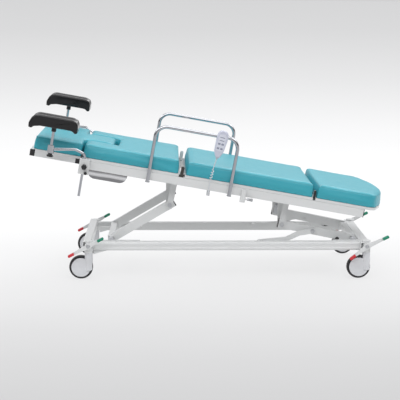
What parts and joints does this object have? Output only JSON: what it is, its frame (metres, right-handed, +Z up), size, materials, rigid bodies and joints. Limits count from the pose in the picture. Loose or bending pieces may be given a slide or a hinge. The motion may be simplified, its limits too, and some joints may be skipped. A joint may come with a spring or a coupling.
{
  "type": "gynecological examination bed",
  "caption": "Mobile examination bed with lifting arms, sectioned padded top, pull-out leg end, knee pads, side arches, drain pan and hand control, tilted head down.",
  "frame": {"origin": "on the floor under the middle of the outline", "axes": "+X along the bed from foot end to head end, +Y away from the side with the hand control, +Z up"},
  "size_m": [1.8798, 0.904, 0.9151],
  "materials": {
    "frame_paint": "satin off-white powder coat",
    "board_paint": "wooden board painted like the frame",
    "chrome_tube": "bright polished chrome",
    "steel_polished": "polished stainless steel",
    "steel_zinc": "zinc-plated steel",
    "upholstery": "turquoise artificial leather",
    "black_plastic": "black moulded plastic",
    "black_pad": "black self-skinned foam",
    "light_plastic": "light grey moulded plastic",
    "handset_plastic": "pale grey moulded plastic",
    "key_rubber": "grey key rubber",
    "castor_tyre": "black rubber tyre with grey disc",
    "cord_sheath": "pale grey flexible sheath"
  },
  "bodies": {
    "base": {"base_side_rails": "frame_paint", "base_cross_members": "frame_paint"},
    "castor_near_foot": {"castor_fork_near_foot": "light_plastic"},
    "wheel_near_foot": {"castor_wheel_near_foot": "castor_tyre"},
    "castor_far_foot": {"castor_fork_far_foot": "light_plastic"},
    "wheel_far_foot": {"castor_wheel_far_foot": "castor_tyre"},
    "castor_near_head": {"castor_fork_near_head": "light_plastic"},
    "wheel_near_head": {"castor_wheel_near_head": "castor_tyre"},
    "castor_far_head": {"castor_fork_far_head": "light_plastic"},
    "wheel_far_head": {"castor_wheel_far_head": "castor_tyre"},
    "lock_foot": {"lock_bar_foot": "frame_paint"},
    "lock_head": {"lock_bar_head": "frame_paint"},
    "head_links": {"head_lift_links": "frame_paint"},
    "head_arm_pair": {"head_arms": "frame_paint", "head_arm_glides": "black_plastic"},
    "head_pins": {"head_pivot_pins": "steel_zinc"},
    "couch": {"couch_side_rails": "frame_paint", "couch_cross_tubes": "frame_paint", "rail_end_caps": "black_plastic", "seat_board": "board_paint", "seat_cushion": "upholstery", "support_clamp_near": "frame_paint", "support_clamp_far": "frame_paint", "infusion_socket": "frame_paint", "cord_gland": "black_plastic", "control_cord": "cord_sheath", "control_cord_curl": "cord_sheath"},
    "foot_pins": {"foot_pivot_pins": "steel_zinc"},
    "foot_arm_pair": {"foot_arms": "frame_paint", "foot_arm_glides": "black_plastic"},
    "leg_section": {"leg_frame": "frame_paint", "leg_cushion": "upholstery"},
    "back_section": {"back_board": "board_paint", "back_cushion": "upholstery"},
    "head_section": {"head_board": "board_paint", "head_cushion": "upholstery"},
    "arch_near": {"side_arch_near": "chrome_tube", "hand_control": "handset_plastic"},
    "arch_far": {"side_arch_far": "chrome_tube"},
    "pan": {"drain_pan": "steel_polished"},
    "key_1": {"control_key_1": "key_rubber"},
    "key_2": {"control_key_2": "key_rubber"},
    "key_3": {"control_key_3": "key_rubber"},
    "key_4": {"control_key_4": "key_rubber"},
    "support_arm_near": {"support_rod_near": "chrome_tube"},
    "support_upright_near": {"support_post_near": "chrome_tube"},
    "crutch_near": {"knee_pad_near": "black_pad"},
    "clamp_handle_near": {"clamp_knob_near": "black_plastic"},
    "post_handle_near": {"post_knob_near": "black_plastic"},
    "support_arm_far": {"support_rod_far": "chrome_tube"},
    "support_upright_far": {"support_post_far": "chrome_tube"},
    "crutch_far": {"knee_pad_far": "black_pad"},
    "clamp_handle_far": {"clamp_knob_far": "black_plastic"},
    "post_handle_far": {"post_knob_far": "black_plastic"},
    "socket_screw": {"socket_wing_screw": "black_plastic"}
  },
  "joints": [
    {"name": "castor_swivel_near_foot", "type": "hinge", "parent": "base", "child": "castor_near_foot", "pos_m": [-0.6441, -0.28, 0.15], "axis": [0, 0, 1], "continuous": true},
    {"name": "wheel_spin_near_foot", "type": "hinge", "parent": "castor_near_foot", "child": "wheel_near_foot", "pos_m": [-0.6841, -0.28, 0.0625], "axis": [0, 1, 0], "continuous": true},
    {"name": "castor_swivel_far_foot", "type": "hinge", "parent": "base", "child": "castor_far_foot", "pos_m": [-0.6441, 0.28, 0.15], "axis": [0, 0, 1], "continuous": true},
    {"name": "wheel_spin_far_foot", "type": "hinge", "parent": "castor_far_foot", "child": "wheel_far_foot", "pos_m": [-0.6841, 0.28, 0.0625], "axis": [0, 1, 0], "continuous": true},
    {"name": "castor_swivel_near_head", "type": "hinge", "parent": "base", "child": "castor_near_head", "pos_m": [0.8207, -0.28, 0.15], "axis": [0, 0, 1], "continuous": true},
    {"name": "wheel_spin_near_head", "type": "hinge", "parent": "castor_near_head", "child": "wheel_near_head", "pos_m": [0.7807, -0.28, 0.0625], "axis": [0, 1, 0], "continuous": true},
    {"name": "castor_swivel_far_head", "type": "hinge", "parent": "base", "child": "castor_far_head", "pos_m": [0.8207, 0.28, 0.15], "axis": [0, 0, 1], "continuous": true},
    {"name": "wheel_spin_far_head", "type": "hinge", "parent": "castor_far_head", "child": "wheel_far_head", "pos_m": [0.7807, 0.28, 0.0625], "axis": [0, 1, 0], "continuous": true},
    {"name": "brake_pedals_foot", "type": "hinge", "parent": "base", "child": "lock_foot", "pos_m": [-0.6441, 0, 0.181], "axis": [0, 1, 0], "range_deg": [-10, 10]},
    {"name": "brake_pedals_head", "type": "hinge", "parent": "base", "child": "lock_head", "pos_m": [0.8177, 0, 0.178], "axis": [0, 1, 0], "range_deg": [-10, 10]},
    {"name": "head_lift", "type": "hinge", "parent": "base", "child": "head_links", "pos_m": [0.2583, 0, 0.179], "axis": [0, -1, 0], "range_deg": [0, 15.5]},
    {"name": "link_knee", "type": "hinge", "parent": "head_links", "child": "head_arm_pair", "pos_m": [0.54344, 0, 0.23706], "axis": [0, -1, 0], "range_deg": [-36.36, 0.4]},
    {"name": "head_pin_turn", "type": "hinge", "parent": "head_arm_pair", "child": "head_pins", "pos_m": [0.37979, 0, 0.27036], "axis": [0, -1, 0], "range_deg": [-0.4, 33.09]},
    {"name": "foot_lift", "type": "hinge", "parent": "head_pins", "child": "couch", "pos_m": [0.37979, 0, 0.27036], "axis": [0, 1, 0], "range_deg": [-8, 3]},
    {"name": "foot_pin_turn", "type": "hinge", "parent": "couch", "child": "foot_pins", "pos_m": [-0.21739, 0, 0.37684], "axis": [0, -1, 0], "range_deg": [-12.62, 0.4]},
    {"name": "foot_arm_turn", "type": "hinge", "parent": "foot_pins", "child": "foot_arm_pair", "pos_m": [-0.21739, 0, 0.37684], "axis": [0, -1, 0], "range_deg": [-23.37, 9.01]},
    {"name": "leg_section_slide", "type": "slide", "parent": "couch", "child": "leg_section", "axis": [-0.9845, 0, 0.1755], "range_m": [0, 0.27]},
    {"name": "back_tilt", "type": "hinge", "parent": "couch", "child": "back_section", "pos_m": [-0.14888, 0, 0.58846], "axis": [0, -1, 0], "range_deg": [0, 55]},
    {"name": "head_rest_tilt", "type": "hinge", "parent": "back_section", "child": "head_section", "pos_m": [0.54222, 0, 0.46524], "axis": [0, -1, 0], "range_deg": [0, 25]},
    {"name": "side_arch_drop_near", "type": "slide", "parent": "couch", "child": "arch_near", "axis": [0.1755, 0, 0.9845], "range_m": [-0.19, 0], "deforming": ["control_cord", "control_cord_curl"]},
    {"name": "side_arch_drop_far", "type": "slide", "parent": "couch", "child": "arch_far", "axis": [0.1755, 0, 0.9845], "range_m": [-0.19, 0]},
    {"name": "drain_pan_slide", "type": "slide", "parent": "couch", "child": "pan", "axis": [-0.9845, 0, 0.1755], "range_m": [0, 0.24]},
    {"name": "control_key_press_1", "type": "slide", "parent": "arch_near", "child": "key_1", "axis": [0, 1, 0], "range_m": [0, 0.0012], "stiffness_N_per_m": 300},
    {"name": "control_key_press_2", "type": "slide", "parent": "arch_near", "child": "key_2", "axis": [0, 1, 0], "range_m": [0, 0.0012], "stiffness_N_per_m": 300},
    {"name": "control_key_press_3", "type": "slide", "parent": "arch_near", "child": "key_3", "axis": [0, 1, 0], "range_m": [0, 0.0012], "stiffness_N_per_m": 300},
    {"name": "control_key_press_4", "type": "slide", "parent": "arch_near", "child": "key_4", "axis": [0, 1, 0], "range_m": [0, 0.0012], "stiffness_N_per_m": 300},
    {"name": "support_height_near", "type": "slide", "parent": "couch", "child": "support_arm_near", "axis": [0.1755, 0, 0.9845], "range_m": [0, 0.11]},
    {"name": "support_swivel_near", "type": "hinge", "parent": "support_arm_near", "child": "support_upright_near", "pos_m": [-0.81341, -0.39, 0.7354], "axis": [0.1755, 0, 0.9845], "range_deg": [-60, 60]},
    {"name": "knee_pad_tilt_near", "type": "hinge", "parent": "support_upright_near", "child": "crutch_near", "pos_m": [-0.80112, -0.39, 0.80431], "axis": [0, 1, 0], "range_deg": [-15, 15]},
    {"name": "clamp_knob_turn_near", "type": "hinge", "parent": "couch", "child": "clamp_handle_near", "pos_m": [-0.6559, -0.34, 0.60472], "axis": [0, 1, 0], "range_deg": [-180, 180]},
    {"name": "post_knob_turn_near", "type": "hinge", "parent": "support_arm_near", "child": "post_handle_near", "pos_m": [-0.82482, -0.39, 0.67141], "axis": [0.1755, 0, 0.9845], "range_deg": [-180, 180]},
    {"name": "support_height_far", "type": "slide", "parent": "couch", "child": "support_arm_far", "axis": [0.1755, 0, 0.9845], "range_m": [-0.03, 0.08]},
    {"name": "support_swivel_far", "type": "hinge", "parent": "support_arm_far", "child": "support_upright_far", "pos_m": [-0.80814, 0.39, 0.76493], "axis": [0.1755, 0, 0.9845], "range_deg": [-60, 60]},
    {"name": "knee_pad_tilt_far", "type": "hinge", "parent": "support_upright_far", "child": "crutch_far", "pos_m": [-0.79586, 0.39, 0.83384], "axis": [0, 1, 0], "range_deg": [-15, 15]},
    {"name": "clamp_knob_turn_far", "type": "hinge", "parent": "couch", "child": "clamp_handle_far", "pos_m": [-0.6559, 0.34, 0.60472], "axis": [0, 1, 0], "range_deg": [-180, 180]},
    {"name": "post_knob_turn_far", "type": "hinge", "parent": "support_arm_far", "child": "post_handle_far", "pos_m": [-0.81955, 0.39, 0.70094], "axis": [0.1755, 0, 0.9845], "range_deg": [-180, 180]},
    {"name": "socket_screw_turn", "type": "hinge", "parent": "couch", "child": "socket_screw", "pos_m": [0.18438, -0.3165, 0.42949], "axis": [0.9845, 0, -0.1755], "range_deg": [-180, 180]}
  ],
  "couplings": [
    {"joint": "link_knee", "follows": "head_lift", "ratio": -2.3199},
    {"joint": "head_pin_turn", "follows": "head_lift", "ratio": 2.1089},
    {"joint": "foot_pin_turn", "follows": "head_lift", "ratio": -0.7887},
    {"joint": "foot_arm_turn", "follows": "foot_lift", "ratio": 2.8716}
  ]
}
